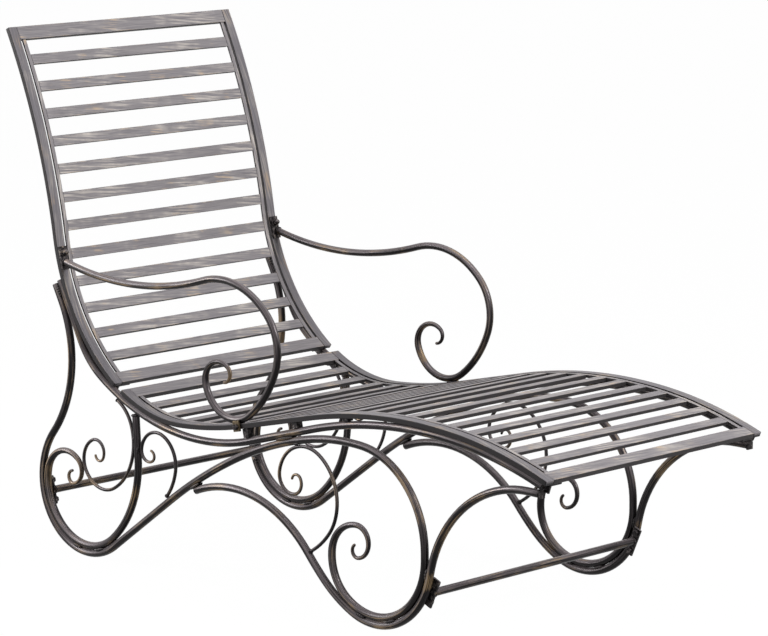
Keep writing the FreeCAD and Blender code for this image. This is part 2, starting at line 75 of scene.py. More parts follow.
@dataclass(frozen=True)
class CentreLine:
    """Line in the side plane, walked from a start point through arcs and straight runs.

    A step (radius, degrees) is an arc, to the left for positive degrees, and (length, 0) is a straight run.
    Sizes are in millimetres, and the heading is in degrees from +X towards +Z.
    """

    x: float
    z: float
    heading: float
    steps: tuple[tuple[float, float], ...]

    def ends(self) -> np.ndarray:
        """Distances along the line at which the steps start and end, from 0."""
        size, turn = np.array(self.steps, float).T
        run = np.where(turn == 0, size, size * np.radians(np.abs(turn)))
        return np.concatenate([[0.0], np.cumsum(run)])

    def length(self) -> float:
        """Length of the whole line."""
        return float(self.ends()[-1])

    def curl(self) -> np.ndarray:
        """Signed curvature of each step, one over its radius."""
        size, turn = np.array(self.steps, float).T
        return np.where(turn == 0, 0.0, np.sign(turn) / size)

    def at(self, s: np.ndarray) -> tuple[np.ndarray, np.ndarray, np.ndarray]:
        """Points and headings at distances along the line.

        Within a step of curvature k the heading is h = h0 + k s, and the point is
        x0 + (sin h - sin h0) / k, z0 - (cos h - cos h0) / k. A straight run is the limit of small k.

        Args:
            s: Distances along the line.

        Returns:
            Arrays of x, z and heading in radians.
        """
        ends = self.ends()
        k = self.curl()
        bend = np.where(np.abs(k) < 1e-9, 1e-9, k)
        run = np.diff(ends)
        h0 = math.radians(self.heading) + np.concatenate([[0.0], np.cumsum(bend * run)])
        dx = (np.sin(h0[1:]) - np.sin(h0[:-1])) / bend
        dz = -(np.cos(h0[1:]) - np.cos(h0[:-1])) / bend
        x0 = self.x + np.concatenate([[0.0], np.cumsum(dx)])
        z0 = self.z + np.concatenate([[0.0], np.cumsum(dz)])
        i = np.clip(np.searchsorted(ends, s, "right") - 1, 0, len(k) - 1)
        h = h0[i] + bend[i] * (s - ends[i])
        return (
            x0[i] + (np.sin(h) - np.sin(h0[i])) / bend[i],
            z0[i] - (np.cos(h) - np.cos(h0[i])) / bend[i],
            h,
        )

    def spot(self, s: float) -> Triple:
        """The x, z and heading at one distance along the line."""
        x, z, h = self.at(np.array([s]))
        return float(x[0]), float(z[0]), float(h[0])

    def stations(self, angle: float = 4.0, reach: float = 16.0) -> np.ndarray:
        """Distances at which the line is cut into rings, closer together where it bends more.

        Args:
            angle: Most degrees between two rings.
            reach: Most millimetres between two rings.

        Returns:
            Rising distances, with both ends of the line.
        """
        ends = self.ends()
        turns = np.abs(np.array(self.steps, float)[:, 1])
        counts = np.maximum(np.ceil(turns / angle), np.ceil(np.diff(ends) / reach)).astype(int)
        parts = [np.linspace(a, b, n, endpoint=False) for a, b, n in zip(ends, ends[1:], counts)]
        return np.concatenate(parts + [ends[-1:]])


@dataclass
class Skin:
    """Closed skin over a stack of rings, with a length map and two values for the paint.

    The rub value tells how far the paint is worn, and the other value how much painted top light lies on it,
    as a paler colour.
    """

    verts: np.ndarray
    quads: np.ndarray
    caps: list[np.ndarray]
    quad_uv: np.ndarray
    cap_uv: list[np.ndarray]
    rub: np.ndarray
    brush: np.ndarray

    @classmethod
    def over(
        cls, rings: np.ndarray, u: np.ndarray, v: np.ndarray, rub: np.ndarray, brush: np.ndarray
    ) -> "Skin":
        """Joins rings into a skin: quads between neighbouring rings, and one cap at each end.

        Args:
            rings: Points, rings by points round the ring by 3, in metres.
            u: Distance along the piece for each ring, in metres.
            v: Distance round the profile, one value more than there are points, in metres.
            rub: How much the paint is rubbed at each point, from 0 to 1.
            brush: How much painted top light each point carries, as a paler colour, from 0 to 1.

        Returns:
            The skin.
        """
        n, m = rings.shape[:2]
        i, j = np.meshgrid(np.arange(n - 1), np.arange(m), indexing="ij")
        k = (j + 1) % m
        quads = np.stack([i * m + j, (i + 1) * m + j, (i + 1) * m + k, i * m + k], -1).reshape(-1, 4)
        corner_u = np.stack([u[i], u[i + 1], u[i + 1], u[i]], -1)
        corner_v = np.stack([v[j], v[j], v[j + 1], v[j + 1]], -1)
        quad_uv = np.stack([corner_u, corner_v], -1).reshape(-1, 4, 2)
        caps = [np.arange(m), np.arange(m)[::-1] + (n - 1) * m]
        cap_uv = [
            np.stack([np.full(m, u[0]), v[:m]], -1),
            np.stack([np.full(m, u[-1]), v[:m][::-1]], -1),
        ]
        verts = rings.reshape(-1, 3)
        return cls(verts, quads, caps, quad_uv, cap_uv, rub.reshape(-1), brush.reshape(-1))

    def mirrored(self) -> "Skin":
        """The same skin on the other side, with its faces turned so that they still point outwards."""
        return Skin(
            self.verts * np.array([1.0, -1.0, 1.0]),
            self.quads[:, ::-1],
            [c[::-1] for c in self.caps],
            self.quad_uv[:, ::-1],
            [c[::-1] for c in self.cap_uv],
            self.rub,
            self.brush,
        )

    def on(self, side: Side) -> "Skin":
        """The skin as built for the left side, or its mirror image for the right."""
        return self if side is Side.left else self.mirrored()


def mesh_object(name: str, skins: list[Skin], material: bpy.types.Material) -> bpy.types.Object:
    """One object from several skins, with their length map and their values for the paint.

    Args:
        name: Name of the object.
        skins: Skins that make it up.
        material: Its finish.

    Returns:
        The new object, linked to the scene.
    """
    starts = np.cumsum([0] + [len(s.verts) for s in skins])
    verts = np.concatenate([s.verts for s in skins])
    quads = np.concatenate([s.quads + a for s, a in zip(skins, starts)])
    caps = [c + a for s, a in zip(skins, starts) for c in s.caps]
    uv = np.concatenate(
        [s.quad_uv.reshape(-1, 2) for s in skins] + [c for s in skins for c in s.cap_uv]
    )
    mesh = bpy.data.meshes.new(name)
    mesh.from_pydata(verts.tolist(), [], quads.tolist() + [c.tolist() for c in caps])
    mesh.uv_layers.new(name="length").data.foreach_set("uv", uv.astype(np.float32).ravel())
    for word in ("rub", "brush"):
        values = np.concatenate([getattr(s, word) for s in skins]).astype(np.float32)
        mesh.attributes.new(word, "FLOAT", "POINT").data.foreach_set("value", values)
    smooth = np.concatenate([np.ones(len(quads), bool), np.zeros(len(caps), bool)])
    mesh.polygons.foreach_set("use_smooth", smooth)
    mesh.materials.append(material)
    mesh.update()
    obj = bpy.data.objects.new(name, mesh)
    bpy.context.scene.collection.objects.link(obj)
    return obj


def place(obj: bpy.types.Object, slot: Slot, *nodes: str) -> bpy.types.Object:
    """Ties a piece to the body and puts it in place of its nodes.

    Args:
        obj: The piece.
        slot: Its material slot. Not used.
        nodes: Names of the nodes that it stands for, if any.

    Returns:
        The piece.
    """
    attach(obj, "root")
    if nodes:
        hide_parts(*nodes)
    stands_for = ", ".join(nodes) or "itself"
    LOG.info("piece %s, %d faces, stands for %s", obj.name, len(obj.data.polygons), stands_for)
    return obj


@dataclass(frozen=True)
class Profile:
    """Closed outline of a bar, with the outward direction and the rub value of each point."""

    points: np.ndarray
    outward: np.ndarray
    rub: np.ndarray

    @classmethod
    def disc(cls, d: float, sides: int, rub: float) -> "Profile":
        """Circle of diameter d: (cos a, sin a) d / 2 for even steps of a."""
        a = np.arange(sides) * 2 * math.pi / sides
        out = np.stack([np.cos(a), np.sin(a)], -1)
        return cls(out * d / 2, out, np.full(sides, rub))

    @classmethod
    def flat(cls, high: float, wide: float, corner: float, arc: int = 4) -> "Profile":
        """Rectangle with rounded corners, and a point on each flat close to every corner.

        A corner is centre + r (cos a, sin a) over a quarter turn. The extra points keep the flats flat
        in the shading.

        Args:
            high: Size along the first axis.
            wide: Size along the second axis.
            corner: Corner radius.
            arc: Steps in a corner.

        Returns:
            The outline, with the rub value at 1 on the corners and 0 on the flats.
        """
        quarter = np.linspace(0, math.pi / 2, arc + 1)
        lead = 0.6
        parts, outs, rubs = [], [], []
        for q in range(4):
            a = quarter + q * math.pi / 2
            sx, sy = [(1, 1), (-1, 1), (-1, -1), (1, -1)][q]
            centre = np.array([sx * (high / 2 - corner), sy * (wide / 2 - corner)])
            out = np.stack([np.cos(a), np.sin(a)], -1)
            out = np.concatenate([out[:1], out, out[-1:]])
            point = centre + corner * out
            point[0] += lead * np.array([out[0][1], -out[0][0]])
            point[-1] += lead * np.array([-out[-1][1], out[-1][0]])
            parts.append(point)
            outs.append(out)
            rubs.append(np.concatenate([[0.0], np.ones(arc + 1), [0.0]]))
        return cls(np.concatenate(parts), np.concatenate(outs), np.concatenate(rubs))

    def round(self) -> np.ndarray:
        """Distance round the outline at each point, and at the first one again, in metres."""
        loop = np.concatenate([self.points, self.points[:1]])
        steps = np.hypot(*np.diff(loop, axis=0).T)
        return np.concatenate([[0.0], np.cumsum(steps)]) * MM


def carried(
    profile: Profile,
    points: np.ndarray,
    first: np.ndarray,
    second: np.ndarray,
    s: np.ndarray,
    scale: np.ndarray,
    inset: np.ndarray,
    wear: np.ndarray,
    shift: float,
) -> Skin:
    """Carries a profile along a path: each ring is point + (scale p - inset n) in the two ring axes.

    Args:
        profile: Outline p with outward directions n, in millimetres.
        points: Path, one point for each ring, in millimetres.
        first: First ring axis for each ring.
        second: Second ring axis for each ring.
        s: Distance along the path.
        scale: Size of the outline at each ring.
        inset: How far each ring is drawn in, for rounded ends.
        wear: Rub value added along the path.
        shift: Start of the length map, so that no two pieces have the same streaks.

    Returns:
        The skin, in metres.
    """
    flat = profile.points[None] * scale[:, None, None] - profile.outward[None] * inset[:, None, None]
    rings = points[:, None] + flat[..., :1] * first[:, None] + flat[..., 1:] * second[:, None]
    rub = np.clip(profile.rub[None] + wear[:, None], 0, 1)
    # Painted top light: faces that look along the first ring axis, up on the flat bars, get a paler colour,
    # and the sides and undersides none.
    brush = np.tile(np.clip(profile.outward[:, 0], 0, 1) ** 2, (len(s), 1))
    return Skin.over(rings * MM, s * MM + shift, profile.round(), rub, brush)


def eased(s: np.ndarray, soft: float) -> tuple[np.ndarray, np.ndarray]:
    """Adds rings for softened ends: a quarter circle of radius soft at both ends of the path.

    Args:
        s: Rising distances along the path.
        soft: Radius of the softened end.

    Returns:
        Distances with the extra rings, and how far each ring is drawn in.
    """
    a = np.linspace(0, math.pi / 2, 4)
    lead = soft * (1 - np.cos(a))
    clear = soft * 1.2
    inside = s[(s > s[0] + clear) & (s < s[-1] - clear)]
    full = np.concatenate([s[0] + lead, inside, s[-1] - lead[::-1]])
    draw = soft * (1 - np.sin(a))
    inset = np.concatenate([draw, np.zeros(len(inside)), draw[::-1]])
    return full, inset


def round_bar(
    line: CentreLine,
    y: float,
    d: float,
    tip: float,
    taper_steps: int,
    sides: int,
    shift: float,
    scuff: tuple[float, float] | None = None,
) -> Skin:
    """Round bar along a line. Its radius falls evenly to the tip over the last steps, and the tip is rounded.

    The rub value rises with the curvature, because tight bends are polished most, and on a scuff by
    exp(-((s - at) / reach)^2).

    Args:
        line: Centre line.
        y: Place across the lounger.
        d: Diameter.
        tip: Diameter at the drawn out end.
        taper_steps: Number of steps that are drawn out.
        sides: Points round the bar.
        shift: Start of the length map.
        scuff: Place along the line and reach of a rubbed spot, if the bar has one.

    Returns:
        The skin of the bar.
    """
    s, inset = eased(line.stations(), BAR_EDGE)
    ends = line.ends()
    scale = np.ones_like(s)
    if taper_steps:
        start, total = ends[-1 - taper_steps], ends[-1]
        share = np.clip((s - start) / (total - start), 0, 1)
        tip_reach, tip_close = 0.49 * tip, 0.72
        away = np.clip(1 - (total - s) / tip_reach, 0, 1)
        scale = (1 + (tip / d - 1) * share) * np.sqrt(1 - tip_close * away**2)
    x, z, h = line.at(s)
    k = np.abs(line.curl())[np.clip(np.searchsorted(ends, s, "right") - 1, 0, len(ends) - 2)]
    polish, slack, most_wear = 12, 0.1, 0.5
    wear = np.clip(k * polish - slack, 0, most_wear)
    if scuff:
        wear = wear + np.exp(-(((s - scuff[0]) / scuff[1]) ** 2))
    points = np.stack([x, np.full_like(x, y), z], -1)
    first = np.stack([-np.sin(h), np.zeros_like(h), np.cos(h)], -1)
    second = np.tile([0.0, 1.0, 0.0], (len(s), 1))
    return carried(Profile.disc(d, sides, BAR_RUB), points, first, second, s, scale, inset, wear, shift)


def bent_flat(
    line: CentreLine, y0: float, y1: float, thick: float, lift: float, corner: float, shift: float
) -> Skin:
    """Flat bar bent along a line: a rectangle with rounded edges, carried along it and square to it.

    Args:
        line: Centre line.
        y0: One edge.
        y1: Other edge.
        thick: Thickness, square to the line.
        lift: Middle of the bar above the line.
        corner: Edge radius.
        shift: Start of the length map.

    Returns:
        The skin of the bar.
    """
    s, inset = eased(line.stations(angle=1.2, reach=14.0), corner)
    x, z, h = line.at(s)
    first = np.stack([-np.sin(h), np.zeros_like(h), np.cos(h)], -1)
    points = np.stack([x, np.full_like(x, (y0 + y1) / 2), z], -1) + lift * first
    second = np.tile([0.0, 1.0, 0.0], (len(s), 1))
    ones = np.ones_like(s)
    profile = Profile.flat(thick, abs(y1 - y0), corner)
    return carried(profile, points, first, second, s, ones, inset, ones * 0, shift)


def cross_flat(
    line: CentreLine,
    at: float,
    along: float,
    half: float,
    low: float,
    high: float,
    corner: float,
    shift: float,
) -> Skin:
    """Straight flat bar across the lounger: a rectangle with rounded edges, carried along Y.

    The bar stands square on a line of the side plane.

    Args:
        line: Line that it stands on.
        at: Distance along that line.
        along: Width of the bar, along the line.
        half: Half its length.
        low: Underside, above the line.
        high: Top, above the line.
        corner: Edge radius.
        shift: Start of the length map.

    Returns:
        The skin of the bar.
    """
    x, z, h = line.spot(at)
    rings = 25
    s, inset = eased(np.linspace(-half, half, rings), corner)
    up = np.array([-math.sin(h), 0.0, math.cos(h)])
    ahead = np.array([math.cos(h), 0.0, math.sin(h)])
    middle = np.array([x, 0.0, z]) + up * (low + high) / 2
    points = middle + s[:, None] * np.array([0.0, 1.0, 0.0])
    first = np.tile(up, (len(s), 1))
    second = np.tile(-ahead, (len(s), 1))
    ones = np.ones_like(s)
    profile = Profile.flat(high - low, along, corner)
    return carried(profile, points, first, second, s, ones, inset, ones * 0, shift)


def bead(start: np.ndarray, end: np.ndarray, thick: float, ripples: int, shift: float) -> Skin:
    """Weld bead: a round bar whose radius is thick sqrt(sin(pi t)), with shallow ripples along it.

    Args:
        start: First end, in millimetres.
        end: Other end.
        thick: Radius in the middle.
        ripples: Number of ripples.
        shift: Start of the length map.

    Returns:
        The skin of the bead.
    """
    tip, ripple_rings, ripple_depth = 0.02, 6, 0.1
    t = np.linspace(tip, 1 - tip, ripple_rings * ripples + 1)
    run = end - start
    ahead = run / np.linalg.norm(run)
    first = np.cross(ahead, [0.0, 1.0, 0.0]) if abs(ahead[1]) < 0.9 else np.array([1.0, 0.0, 0.0])
    first = first / np.linalg.norm(first)
    second = np.cross(first, ahead)
    scale = np.sqrt(np.sin(math.pi * t)) * (1 + ripple_depth * np.cos(2 * math.pi * ripples * t))
    points = start + t[:, None] * run
    wide = np.tile(first, (len(t), 1)), np.tile(second, (len(t), 1))
    s = t * np.linalg.norm(run)
    none = np.zeros_like(t)
    return carried(Profile.disc(2 * thick, 10, WELD_RUB), points, *wide, s, scale, none, none, shift)


def collar(centre: np.ndarray, axis: np.ndarray, radius: float, thick: float, shift: float) -> Skin:
    """Weld run round the end of a bar: a ring centre + radius (cos a, sin a) with a rippled section.

    Args:
        centre: Middle of the ring, in millimetres.
        axis: Direction of the bar.
        radius: Radius of the ring.
        thick: Radius of its section.
        shift: Start of the length map.

    Returns:
        The skin, which overlaps itself by one step to close.
    """
    axis = axis / np.linalg.norm(axis)
    side = np.cross(axis, [0.0, 1.0, 0.0]) if abs(axis[1]) < 0.9 else np.array([1.0, 0.0, 0.0])
    side = side / np.linalg.norm(side)
    other = np.cross(axis, side)
    lap, rings, ripples, ripple_depth = 1.02, 61, 9, 0.12
    a = np.linspace(0, 2 * math.pi * lap, rings)
    out = np.cos(a)[:, None] * side + np.sin(a)[:, None] * other
    points = centre + radius * out
    second = np.tile(-axis, (len(a), 1))
    scale = 1 + ripple_depth * np.cos(ripples * a)
    none = np.zeros_like(a)
    disc = Profile.disc(2 * thick, 8, WELD_RUB)
    return carried(disc, points, out, second, a * radius, scale, none, none, shift)


def end_weld(line: CentreLine, at: float, y: float, radius: float, thick: float, shift: float) -> Skin:
    """Weld run round a bent bar, square to its line.

    Args:
        line: Centre line of the bar.
        at: Distance along that line.
        y: Place across the lounger.
        radius: Radius of the run.
        thick: Radius of its section.
        shift: Start of the length map.

    Returns:
        The skin of the run.
    """
    x, z, h = line.spot(at)
    axis = np.array([math.cos(h), 0.0, math.sin(h)])
    return collar(np.array([x, y, z]), axis, radius, thick, shift)


class NodePad:
    """Short words for laying out one material's nodes."""

    def __init__(self, name: str) -> None:
        """Starts a material with one shader and its output."""
        self.material = bpy.data.materials.new(name)
        self.material.use_nodes = True
        self.tree = self.material.node_tree
        self.tree.nodes.clear()
        self.shader = self.node("ShaderNodeBsdfPrincipled")
        output = self.node("ShaderNodeOutputMaterial")
        self.tree.links.new(self.shader.outputs[0], output.inputs["Surface"])

    def node(self, kind: str) -> bpy.types.Node:
        """A new node of that kind."""
        return self.tree.nodes.new(kind)

    def feed(self, socket: Socket, value: object) -> None:
        """Links a socket to another one, or sets its value."""
        if isinstance(value, Socket):
            self.tree.links.new(value, socket)
        else:
            socket.default_value = value

    def coords(self, kind: str) -> Socket:
        """Object coordinates, or the length map of the piece."""
        return self.node("ShaderNodeTexCoord").outputs[kind]

    def point_value(self, word: str) -> Socket:
        """The rub value or the painted top light value that the piece carries."""
        node = self.node("ShaderNodeAttribute")
        node.attribute_name = word
        return node.outputs["Fac"]

    def facing(self, way: Triple) -> Socket:
        """How far the surface faces a direction of the part, from -1 to 1."""
        node = self.node("ShaderNodeVectorMath")
        node.operation = "DOT_PRODUCT"
        self.feed(node.inputs[0], self.coords("Normal"))
        node.inputs[1].default_value = Vector(way).normalized()
        return node.outputs["Value"]

    def turned(self, vector: Socket, degrees: float) -> Socket:
        """Coordinates turned in the plane of the length map."""
        node = self.node("ShaderNodeVectorRotate")
        node.rotation_type = "Z_AXIS"
        self.feed(node.inputs["Vector"], vector)
        node.inputs["Angle"].default_value = math.radians(degrees)
        return node.outputs[0]

    def noise(self, vector: Socket, scale: Triple, detail: float, rough: float) -> Socket:
        """Noise on coordinates that are stretched first.

        Args:
            vector: Coordinates in metres.
            scale: Waves per metre along each axis.
            detail: Number of finer layers.
            rough: Strength of the finer layers.

        Returns:
            The noise value, about 0.5 on average.
        """
        mapping = self.node("ShaderNodeMapping")
        mapping.inputs["Scale"].default_value = scale
        self.feed(mapping.inputs["Vector"], vector)
        noise = self.node("ShaderNodeTexNoise")
        self.feed(noise.inputs["Vector"], mapping.outputs[0])
        noise.inputs["Scale"].default_value = 1.0
        noise.inputs["Detail"].default_value = detail
        noise.inputs["Roughness"].default_value = rough
        return noise.outputs[0]

    def range(self, value: Socket, low: float, high: float, to_low: float, to_high: float) -> Socket:
        """Maps a value from one range to another, held at both ends."""
        node = self.node("ShaderNodeMapRange")
        self.feed(node.inputs["Value"], value)
        for name, number in zip(("From Min", "From Max", "To Min", "To Max"), (low, high, to_low, to_high)):
            node.inputs[name].default_value = number
        return node.outputs[0]

    def sum(self, kind: str, a: object, b: object) -> Socket:
        """One step of arithmetic between two values."""
        node = self.node("ShaderNodeMath")
        node.operation = kind
        self.feed(node.inputs[0], a)
        self.feed(node.inputs[1], b)
        return node.outputs[0]

    def blend(self, share: object, a: object, b: object) -> Socket:
        """Mixes two colours by a share."""
        node = self.node("ShaderNodeMix")
        node.data_type = "RGBA"
        self.feed(node.inputs[0], share)
        for socket, value in ((node.inputs[6], a), (node.inputs[7], b)):
            self.feed(socket, (*value, 1.0) if isinstance(value, tuple) else value)
        return node.outputs[2]

    def bump(self, height: Socket, strength: float, depth: float) -> None:
        """Gives the shader a relief of that depth in metres."""
        node = self.node("ShaderNodeBump")
        node.inputs["Strength"].default_value = strength
        node.inputs["Distance"].default_value = depth
        self.feed(node.inputs["Height"], height)
        self.feed(self.shader.inputs["Normal"], node.outputs[0])


@dataclass(frozen=True)
class PanelPaint:
    """Dark paint, paler grey on the broad faces as painted top light, and pale warm strokes dry-brushed on
    top.

    The painted top light follows the value that the piece carries for it, so the edges and undersides stay
    dark as painted shade. Colours are linear.
    Waves are per metre: along and across the piece, or along the part's own axes. The relief is a strength
    and a depth in metres.
    """

    name: str
    # Painted shade on the edges and undersides.
    dark: Colour
    deep: Colour
    body: Colour
    pale: Colour
    bronze: Colour
    stroke_angle: float = 6.0
    grain_waves: Triple = (10.0, 560.0, 1.0)
    stroke_waves: Triple = (9.0, 240.0, 1.0)
    shade_waves: Triple = (10.0, 260.0, 1.0)
    patch_waves: Triple = (9.0, 9.0, 9.0)
    speck_waves: Triple = (19.0, 19.0, 19.0)
    metallic: float = 0.1
    specular: float = 0.15
    rough: tuple[float, float] = (0.42, 0.6)
    relief: tuple[float, float] = (0.05, 0.0005)

    def make(self) -> bpy.types.Material:
        """Lays out the finish.

        Returns:
            The material.
        """
        pad = NodePad(self.name)
        solid = pad.coords("Object")
        length = pad.coords("UV")
        slant = pad.turned(length, self.stroke_angle)
        back = pad.turned(length, -0.6 * self.stroke_angle)
        grain = pad.noise(length, self.grain_waves, 5.0, 0.65)
        stroke = pad.noise(slant, self.stroke_waves, 4.0, 0.6)
        shade = pad.noise(back, self.shade_waves, 3.0, 0.55)
        patch = pad.noise(solid, self.patch_waves, 3.0, 0.6)
        speck = pad.noise(solid, self.speck_waves, 2.0, 0.5)
        tone = pad.blend(pad.range(grain, 0.36, 0.60, 0.0, 1.0), self.deep, self.body)
        tone = pad.blend(pad.range(shade, 0.50, 0.62, 0.0, 0.35), tone, self.deep)
        # Pale strokes, more of them on some patches than on others.
        spread = pad.range(patch, 0.46, 0.60, 0.12, 1.0)
        dry = pad.sum("MULTIPLY", pad.range(stroke, 0.47, 0.62, 0.0, 1.0), spread)
        tone = pad.blend(dry, tone, self.pale)
        # Bronze strokes on a few small spots, and along the rubbed edges.
        spots = pad.range(speck, 0.58, 0.68, 0.0, 0.7)
        warm = pad.sum("MULTIPLY", pad.range(stroke, 0.50, 0.60, 0.0, 1.0), spots)
        tone = pad.blend(warm, tone, self.bronze)
        chip = pad.sum("MULTIPLY", pad.point_value("rub"), pad.range(stroke, 0.50, 0.66, 0.0, 0.5))
        tone = pad.blend(chip, tone, self.bronze)
        # Painted shade: the dark paint where the painted top light ends, on the edges and undersides.
        painted_light = pad.sum("ADD", pad.point_value("brush"), pad.range(grain, 0.2, 0.8, -0.22, 0.16))
        tone = pad.blend(pad.range(painted_light, 0.25, 0.8, 0.0, 1.0), self.dark, tone)
        pad.feed(pad.shader.inputs["Base Color"], tone)
        gloss = pad.range(pad.sum("ADD", grain, patch), 0.7, 1.3, *self.rough)
        pad.feed(pad.shader.inputs["Roughness"], gloss)
        pad.shader.inputs["Metallic"].default_value = self.metallic
        pad.shader.inputs["Specular IOR Level"].default_value = self.specular
        pad.bump(pad.sum("ADD", pad.sum("MULTIPLY", grain, 0.5), stroke), *self.relief)
        return pad.material


@dataclass(frozen=True)
class RubbedPaint:
    """Near black paint with a painted highlight in grey on the sides that face up and out, and rubbed to
    bronze in thin streaks.

    Colours are linear. The streaks run along the length map of the piece, or follow the part's own axes where
    the piece has no map.
    """

    name: str
    deep: Colour
    body: Colour
    # Painted highlight colour, on the sides that face up and out.
    grey: Colour
    pale: Colour
    bronze: Colour
    bronze_from: float
    bronze_share: float
    metallic: float
    rough: tuple[float, float]
    mapped: bool = True
    # Direction that the painted highlight faces, in the part's own axes.
    painted_light_from: Triple = (0.25, -0.40, 0.88)
    specular: float = 0.12
    relief: tuple[float, float] = (0.1, 0.0005)

    def make(self) -> bpy.types.Material:
        """Lays out the finish.

        Returns:
            The material.
        """
        pad = NodePad(self.name)
        solid = pad.coords("Object")
        length = pad.coords("UV") if self.mapped else solid
        grain_waves = (10.0, 600.0, 1.0) if self.mapped else (330.0, 330.0, 330.0)
        streak_waves = (6.0, 240.0, 1.0) if self.mapped else (150.0, 150.0, 150.0)
        grain = pad.noise(length, grain_waves, 3.0, 0.5)
        streak = pad.noise(length, streak_waves, 3.0, 0.5)
        patch = pad.noise(solid, (10.0, 10.0, 10.0), 3.0, 0.6)
        tone = pad.blend(pad.range(grain, 0.38, 0.60, 0.0, 1.0), self.deep, self.body)
        # Painted highlight: grey on the sides that face up and out, with a streaky edge.
        painted_light = pad.sum("ADD", pad.facing(self.painted_light_from), pad.range(streak, 0.36, 0.64, -0.22, 0.22))
        painted_light = pad.range(painted_light, 0.32, 0.95, 0.0, 1.0)
        painted_light_tone = pad.blend(pad.range(grain, 0.32, 0.56, 0.35, 1.0), self.body, self.grey)
        tone = pad.blend(painted_light, tone, painted_light_tone)
        # Pale streaks, mostly on the painted highlight.
        spread = pad.range(patch, 0.44, 0.62, 0.1, 1.0)
        dry = pad.sum("MULTIPLY", pad.range(streak, 0.50, 0.62, 0.0, 0.8), spread)
        dry = pad.sum("MULTIPLY", dry, pad.range(painted_light, 0.0, 0.6, 0.15, 1.0))
        tone = pad.blend(dry, tone, self.pale)
        # Bronze where the paint is worn through.
        worn = pad.sum("ADD", pad.sum("MULTIPLY", patch, 0.55), pad.sum("MULTIPLY", streak, 0.45))
        if self.mapped:
            worn = pad.sum("ADD", worn, pad.sum("MULTIPLY", pad.point_value("rub"), 0.14))
        share = pad.range(worn, self.bronze_from, self.bronze_from + 0.08, 0.0, self.bronze_share)
        share = pad.sum("MULTIPLY", share, pad.range(grain, 0.44, 0.56, 0.1, 1.0))
        tone = pad.blend(share, tone, self.bronze)
        pad.feed(pad.shader.inputs["Base Color"], tone)
        gloss = pad.range(pad.sum("ADD", grain, patch), 0.7, 1.3, *self.rough)
        pad.feed(pad.shader.inputs["Roughness"], gloss)
        pad.shader.inputs["Metallic"].default_value = self.metallic
        pad.shader.inputs["Specular IOR Level"].default_value = self.specular
        pad.bump(pad.sum("ADD", pad.sum("MULTIPLY", grain, 0.4), streak), *self.relief)
        return pad.material


@dataclass(frozen=True)
class Finishes:
    """The finishes of the lounger."""

    # The first colour of each panel paint is painted shade, for the edges and undersides.
    slat: PanelPaint = PanelPaint(
        "brushed_slat_paint", (0.040, 0.036, 0.037), (0.200, 0.186, 0.200), (0.318, 0.297, 0.309),
        (0.600, 0.550, 0.510), (0.620, 0.470, 0.330),
    )
    rail: PanelPaint = PanelPaint(
        "brushed_rail_paint", (0.022, 0.0195, 0.0205), (0.150, 0.140, 0.154), (0.235, 0.220, 0.236),
        (0.400, 0.365, 0.340), (0.460, 0.340, 0.240),
    )
    # The third colour of each rubbed paint is a painted highlight.
    tube: RubbedPaint = RubbedPaint(
        "rubbed_tube_paint", (0.006, 0.005, 0.0055), (0.018, 0.0152, 0.0163), (0.235, 0.203, 0.214),
        (0.340, 0.298, 0.280), (0.380, 0.260, 0.140), 0.565, 0.8, 0.15, (0.24, 0.36),
    )
    weld: RubbedPaint = RubbedPaint(
        "painted_weld", (0.006, 0.005, 0.0055), (0.018, 0.0155, 0.0165), (0.090, 0.079, 0.082),
        (0.150, 0.130, 0.115), (0.280, 0.185, 0.100), 0.62, 0.6, 0.2, (0.36, 0.54),
    )
    fitting: RubbedPaint = RubbedPaint(
        "painted_fitting", (0.007, 0.006, 0.0065), (0.026, 0.0225, 0.0235), (0.190, 0.165, 0.170),
        (0.260, 0.228, 0.205), (0.340, 0.235, 0.130), 0.58, 0.7, 0.25, (0.30, 0.46), False,
    )
    tab: RubbedPaint = RubbedPaint(
        "rubbed_tab", (0.060, 0.046, 0.028), (0.140, 0.105, 0.062), (0.250, 0.190, 0.120),
        (0.380, 0.300, 0.200), (0.420, 0.300, 0.160), 0.52, 0.7, 0.4, (0.32, 0.5), False,
    )


@dataclass(frozen=True)
class Seam:
    """Weld seam between two bars that lie side by side: its middle, heading, length and thickness."""

    x: float
    z: float
    heading: float
    length: float
    thick: float


